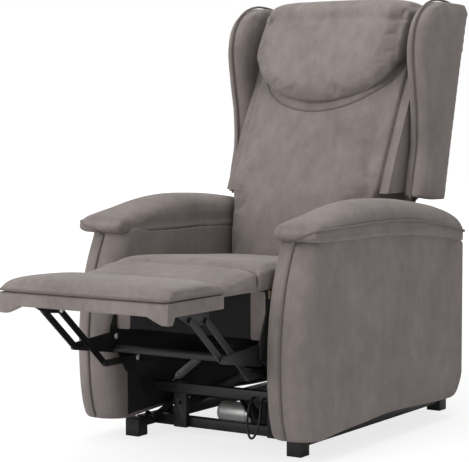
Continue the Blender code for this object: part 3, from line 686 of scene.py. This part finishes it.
# ---- Seat, bridging pad and footrest pad -------------------------------------------------------
# One long chaise pad runs from the seat to the footrest: a seat cushion, a pad that bridges the
# gap and crumples as the footrest comes in, and the pad on the footrest board.
seat_low, seat_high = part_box("seat_cushion")
bridge_low, bridge_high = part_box("bridge_pad")
foot_low, foot_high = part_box("footrest_pad")
CHAISE_TOP = [(-0.790, 0.430), (-0.775, 0.441), (-0.740, 0.446), (-0.680, 0.447), (-0.600, 0.444),
              (-0.556, 0.438), (-0.520, 0.441), (-0.460, 0.450), (-0.400, 0.461), (-0.340, 0.465),
              (-0.260, 0.462), (-0.100, 0.451), (0.084, 0.440)]


def chaise_place(low, high, under, half, side_drop, end_drop_front, end_drop_rear):
    """A pad of the chaise between two places along it; its top falls a little towards its sides."""
    def place(a, b, c):
        y = mix(low, high, (b + 1) / 2)
        top = follow(CHAISE_TOP, y) - side_drop * abs(a) ** 6
        top -= end_drop_front * max(0.0, -b) ** 24 + end_drop_rear * max(0.0, b) ** 24
        z = mix(under, top, (c + 1) / 2)
        wide = half * (1 + 0.012 * (1 - c * c) * abs(a) ** 8)
        return Vector((wide * a, y + CHAIR_Y, z))
    return place


seat_half = seat_high.x - 0.001
seat = soft_block("seat_cushion_cover", 31,
                  chaise_place(-0.399, 0.080, seat_low.z + 0.001, seat_half, 0.010, 0.004, 0.008))
swell(seat, 0.006, 0.007, 4.0, lambda co: 1.0 if co.z > seat_low.z + 0.012 and abs(co.x) < 0.214 else 0.15)
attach(seat, "chassis")
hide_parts("seat_cushion")

bridge = soft_block("bridge_pad_cover", 21,
                    chaise_place(-0.5545, -0.4005, bridge_low.z + 0.002, seat_half, 0.010, 0.005, 0.004))
swell(bridge, 0.006, 0.005, 3.0, lambda co: 1.0 if co.z > bridge_low.z + 0.012 else 0.3)
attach(bridge, "chassis")
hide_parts("bridge_pad")
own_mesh(bridge)

foot_pad = soft_block("footrest_pad_cover", 27,
                      chaise_place(-0.789, -0.5555, foot_low.z + 0.0005, foot_high.x - 0.001,
                                   0.010, 0.006, 0.006))
swell(foot_pad, 0.005, 0.006, 3.0, lambda co: 1.0 if co.z > foot_low.z + 0.010 else 0.25)
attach(foot_pad, "footrest")
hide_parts("footrest_pad")


def boxing_seam(name, low, high, half, z, body, radius=0.0016):
    """The sewn ridge along both sides of a pad, where its top panel meets the side strip."""
    for side, sign in (("left", 1), ("right", -1)):
        line = [Vector((sign * (half + 0.001), mix(low, high, step / 24) + CHAIR_Y, z)) for step in range(25)]
        trim(as_mesh(tube(f"{name}_{side}", line, radius, PIPING_PAINTED_SHADE)), body)


boxing_seam("footrest_seam", -0.784, -0.560, foot_high.x, 0.4225, "footrest")
front_seam = [Vector((mix(-0.234, 0.234, step / 40), -0.791 + CHAIR_Y, 0.4225)) for step in range(41)]
trim(as_mesh(tube("footrest_front_piping", front_seam, 0.0026, PIPING_PAINTED_SHADE)), "footrest")

# ---- Footrest board ----------------------------------------------------------------------------
# The footrest is a board wrapped in the same cloth. Its front band drops into a rounded ear at
# each front corner.
board_low, board_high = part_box("footrest_board")
BOARD_LOW, BOARD_HIGH = 0.385, board_high.z
EAR_DROP = 0.017


def board_place(a, b, c):
    x = board_high.x * a
    y = mix(board_low.y - CHAIR_Y, board_high.y - CHAIR_Y, (b + 1) / 2)
    low = BOARD_LOW
    if b < -0.8:
        ear = min(1.0, max(0.0, (abs(x) - 0.175) / 0.040))
        low -= EAR_DROP * ear * ear * (3 - 2 * ear)
    z = mix(low, BOARD_HIGH, (c + 1) / 2)
    y += 0.004 * abs(c) ** 8 if b < -0.999 else 0.0
    return Vector((x, y + CHAIR_Y, z))


board = soft_block("footrest_board_cover", 23, board_place)
edge = board.modifiers.new("edge", "BEVEL")
edge.width = 0.003
edge.segments = 3
edge.limit_method = "ANGLE"
edge.angle_limit = math.radians(50)
apply_all(board)
smooth_by_angle(board, 50)
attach(board, "footrest")
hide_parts("footrest_board")

# ---- Front fascia ends -------------------------------------------------------------------------
# The black panel under the seat front has its ends wrapped in the chair's cloth.
fascia_low, fascia_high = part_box("front_fascia")
for side, sign in (("right", -1), ("left", 1)):
    def fascia_place(a, b, c, sign=sign):
        x = mix(0.176, fascia_high.x, (a + 1) / 2)
        y = fascia_low.y - 0.0005 - 0.0015 * (1 - (b + 1) / 2) * (1 - a ** 6) ** 0.5
        return Vector((sign * x, y, mix(fascia_low.z - 0.002, fascia_high.z - 0.001, (c + 1) / 2)))
    wrap = soft_block(f"fascia_end_{side}", 5, fascia_place)
    rounded(wrap)
    trim(wrap, "chassis")

# ---- Back cushion ------------------------------------------------------------------------------
# The back is one smooth foam cushion with a fuller part at the small of the back. It reaches down
# behind the seat and up behind the headrest.
BACK_FRONT = [(0.360, 0.100), (0.440, 0.101), (0.520, 0.106), (0.600, 0.124), (0.680, 0.158), (0.760, 0.198),
              (0.840, 0.240), (0.920, 0.285), (1.000, 0.326), (1.070, 0.362)]
BACK_REAR_SLOPE = math.tan(math.radians(13.8))
SHELL = 0.060


def rear_line(z):
    """y of the back's leaning rear face."""
    return 0.537 + (z - 1.092) * BACK_REAR_SLOPE


def back_place(a, b, c):
    z = mix(0.362, 1.066, (c + 1) / 2)
    half = mix(0.2085, 0.224, min(1.0, max(0.0, (z - 0.57) / 0.06)))
    front = follow(BACK_FRONT, z) + 0.036 * abs(a) ** 3.2
    rear = rear_line(z) - SHELL
    y = mix(front, rear, (b + 1) / 2)
    return Vector((half * a, y + CHAIR_Y, z))


back = soft_block("back_cushion_cover", 31, back_place)
swell(back, 0.0065, 0.010, 4.0,
      lambda co: 1.0 if co.y < rear_line(co.z) + CHAIR_Y - SHELL - 0.03 and abs(co.x) < 0.205 else 0.1)
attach(back, "back")
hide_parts("back_cushion")

# ---- Headrest ----------------------------------------------------------------------------------
# A plump pillow is sewn to the top of the back. Its lower edge is a half round with a piped seam,
# and its top rolls over the head of the frame.
HEAD_MIDDLE, HEAD_HALF, HEAD_DROP, HEAD_TOP = 1.000, 0.227, 0.165, 1.121


def head_low(x):
    return HEAD_MIDDLE - HEAD_DROP * math.sqrt(max(0.0, 1 - (x / (HEAD_HALF + 0.003)) ** 2))


def head_place(a, b, c):
    turn = a * math.pi / 2
    x = HEAD_HALF * math.sin(turn)
    top = HEAD_TOP - 0.030 * abs(math.sin(turn)) ** 8
    z = mix(head_low(x), top, (c + 1) / 2)
    plump = math.sqrt(max(0.0, (1 - abs(a) ** 3) * (1 - abs(c) ** 2.6)))
    seat_line = follow(BACK_FRONT, z) + 0.012
    front = seat_line - 0.014 - 0.052 * plump
    roll = min(1.0, max(0.0, (z - 1.068) / 0.020))
    rear = seat_line + 0.012 + roll * 0.085
    y = mix(front, rear, (b + 1) / 2)
    return Vector((x, y + CHAIR_Y, z))


head = soft_block("headrest_cover", 31, head_place)
swell(head, 0.006, 0.012, 4.5, lambda co: 1.0 if abs(co.x) < 0.220 else 0.3)
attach(head, "back")
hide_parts("headrest")
graph = bpy.context.evaluated_depsgraph_get()
covers = [BVHTree.FromObject(cover, graph) for cover in (head, back)]


def front_of(x, z, fallback):
    """The foremost y of the pillow and the back cushion at a place seen from the front."""
    hits = [tree.ray_cast(Vector((x, -1.0, z)), Vector((0, 1, 0)))[0] for tree in covers]
    return min([hit.y for hit in hits if hit] or [fallback])


head_line = []
for step in range(81):
    turn = math.pi * mix(1.02, 1.98, step / 80)
    x = (HEAD_HALF + 0.002) * math.cos(turn)
    z = HEAD_MIDDLE + (HEAD_DROP + 0.008) * math.sin(turn)
    guess = follow(BACK_FRONT, z) + 0.015 + CHAIR_Y
    head_line.append(Vector((x, front_of(x, z, guess), z)))
for lap in range(3):
    for near, here, far in zip(head_line, head_line[1:], head_line[2:]):
        here.y = (near.y + 2 * here.y + far.y) / 4
trim(as_mesh(tube("headrest_piping", head_line, 0.0034, PIPING_PAINTED_SHADE)), "back")

# ---- Wings -------------------------------------------------------------------------------------
# A padded wing stands on each side of the back. Its front edge is a soft half round with piping
# down the middle, fuller at head height, and its outer face is a flat covered panel.
WING_FRONT = [(0.600, 0.253), (0.660, 0.263), (0.735, 0.279), (0.820, 0.278), (0.900, 0.264), (0.980, 0.252),
              (1.020, 0.256), (1.050, 0.266), (1.080, 0.288), (1.100, 0.315), (1.115, 0.350), (1.122, 0.385)]
WING_DEPTH = 0.026
WING_BOTTOM = [(0.240, 0.599), (0.300, 0.595), (0.420, 0.585)]


def wing_middle(z):
    return mix(0.2765, 0.2810, (z - 0.6) / 0.52)


def wing_place(a, b, c):
    turn = a * math.pi / 2
    share = (c + 1) / 2
    rough = mix(0.26, 0.42, (b + 1) / 2)
    tail = max(0.0, b) ** 6
    z = mix(follow(WING_BOTTOM, rough), 1.120 - 0.024 * tail, share)
    x = wing_middle(z) + 0.0262 * math.sin(turn)
    front = follow(WING_FRONT, z) + WING_DEPTH * (1 - math.cos(turn))
    y = mix(front, rear_line(z) - 0.002, (b + 1) / 2)
    return Vector((x, y + CHAIR_Y, z))


wing = soft_block("wing_cover_left", 27, wing_place)
swell(wing, 0.006, 0.004, 3.0)
other_wing = mirrored(wing, "wing_cover_right")
wing_line = [Vector((wing_middle(z), follow(WING_FRONT, z) - 0.0018 + CHAIR_Y, z))
             for z in (0.598 + 0.520 * step / 60 for step in range(61))]
for step in range(1, 15):
    y = mix(0.385, 0.520, step / 14)
    wing_line.append(Vector((wing_middle(1.12), y + CHAIR_Y, 1.1225 - 0.020 * (step / 14) ** 3)))
wing_piping = as_mesh(tube("wing_piping_left", wing_line, 0.0030, PIPING_PAINTED_SHADE))
trim(mirrored(wing_piping, "wing_piping_right"), "back")
trim(wing_piping, "back")
for side, cover in (("left", wing), ("right", other_wing)):
    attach(cover, "back")
    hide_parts(f"wing_{side}")

# ---- Outside back ------------------------------------------------------------------------------
# The rear of the back is one covered panel, narrow between the arms and wide between the wings.
outside_low, outside_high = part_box("outside_back")


def outside_place(a, b, c):
    z = mix(outside_low.z, outside_high.z + 0.006, (c + 1) / 2)
    wide = min(1.0, max(0.0, (z - 0.590) / 0.015))
    half = mix(0.2100, 0.2495, wide)
    rear = rear_line(z) - 0.002 + 0.006 * (1 - a ** 4) * (1 - c ** 6)
    y = mix(rear_line(z) - 0.0122, rear, (b + 1) / 2)
    return Vector((half * a, y + CHAIR_Y, z))


outside = soft_block("outside_back_cover", 31, outside_place)
rounded(outside)
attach(outside, "back")
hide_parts("outside_back")

# ---- Back gussets and top ----------------------------------------------------------------------
# Strips of the cover close the gaps between the back cushion and the wings, and cap the back's top.
def gusset_place(a, b, c):
    z = mix(0.612, 1.078, (c + 1) / 2)
    y = mix(follow(BACK_FRONT, z) + 0.052, rear_line(z) - SHELL, (b + 1) / 2)
    return Vector((mix(0.2235, 0.2495, (a + 1) / 2), y + CHAIR_Y, z))


def top_place(a, b, c):
    z = mix(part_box("back_frame")[1].z + 0.0005, 1.091, (c + 1) / 2) - 0.003 * (abs(b) ** 6) * (c > 0)
    y = mix(rear_line(z) - SHELL + 0.002, rear_line(z) - 0.003, (b + 1) / 2)
    return Vector((0.2490 * a, y + CHAIR_Y, z))


gusset = soft_block("back_gusset_left", 9, gusset_place)
smooth_by_angle(gusset, 50)
trim(mirrored(gusset, "back_gusset_right"), "back")
trim(gusset, "back")
cap = soft_block("back_top_cap", 11, top_place)
smooth_by_angle(cap, 50)
trim(cap, "back")

# ---- Studio ------------------------------------------------------------------------------------
# A white sweep: the floor and the world look white to the camera, and the floor keeps the shadow.
bpy.ops.object.select_all(action="DESELECT")
bpy.ops.mesh.primitive_plane_add(size=30, location=(0, 0, -0.0005))
floor = bpy.context.object
floor.name = "studio_floor"
paper = Finish("white_paper_floor")
paper.set("Base Color", (0.86, 0.86, 0.86, 1))
paper.set("Roughness", 0.9)
camera_ray = paper.add("LightPath", {}, {}, "Is Camera Ray")
glow = paper.add("Emission", {}, {"Color": (1, 1, 1, 1), "Strength": 1.2})
matt = Wire(paper, paper.shader.outputs[0])
far_off = paper.add("VectorMath", {"operation": "LENGTH"}, {0: paper.place}, 1)
share = paper.add("MapRange", {"clamp": True}, {"Value": far_off, "From Min": 1.2, "From Max": 5.0,
                                                "To Min": 0.64, "To Max": 1.0})
surface = paper.add("MixShader", {}, {0: camera_ray * share, 1: matt, 2: glow})
paper.links.new(surface.socket, paper.nodes["Material Output"].inputs["Surface"])
floor.data.materials.append(paper.material)

world = bpy.data.worlds.new("studio")
bpy.context.scene.world = world
world.use_nodes = True
nodes, links = world.node_tree.nodes, world.node_tree.links
backdrop = nodes["Background"]
path = nodes.new("ShaderNodeLightPath")
level = nodes.new("ShaderNodeMapRange")
level.inputs["To Min"].default_value = 0.42
level.inputs["To Max"].default_value = 1.0
links.new(path.outputs["Is Camera Ray"], level.inputs["Value"])
links.new(level.outputs[0], backdrop.inputs["Strength"])
backdrop.inputs["Color"].default_value = (1, 1, 1, 1)


def soft_lamp(name, place, target, size, watts):
    bpy.ops.object.light_add(type="AREA", location=place)
    lamp = bpy.context.object
    lamp.name = name
    lamp.data.energy = watts
    lamp.data.size = size
    lamp.rotation_euler = (Vector(target) - Vector(place)).to_track_quat("-Z", "Y").to_euler()


soft_lamp("key", (-0.9, -4.2, 2.7), (0, 0, 0.5), 3.4, 150)
soft_lamp("top", (0.0, 0.2, 3.6), (0, 0, 0.5), 2.5, 55)
soft_lamp("fill", (3.2, -1.8, 1.6), (0, 0, 0.5), 2.5, 12)
bpy.context.scene.view_settings.view_transform = "Standard"
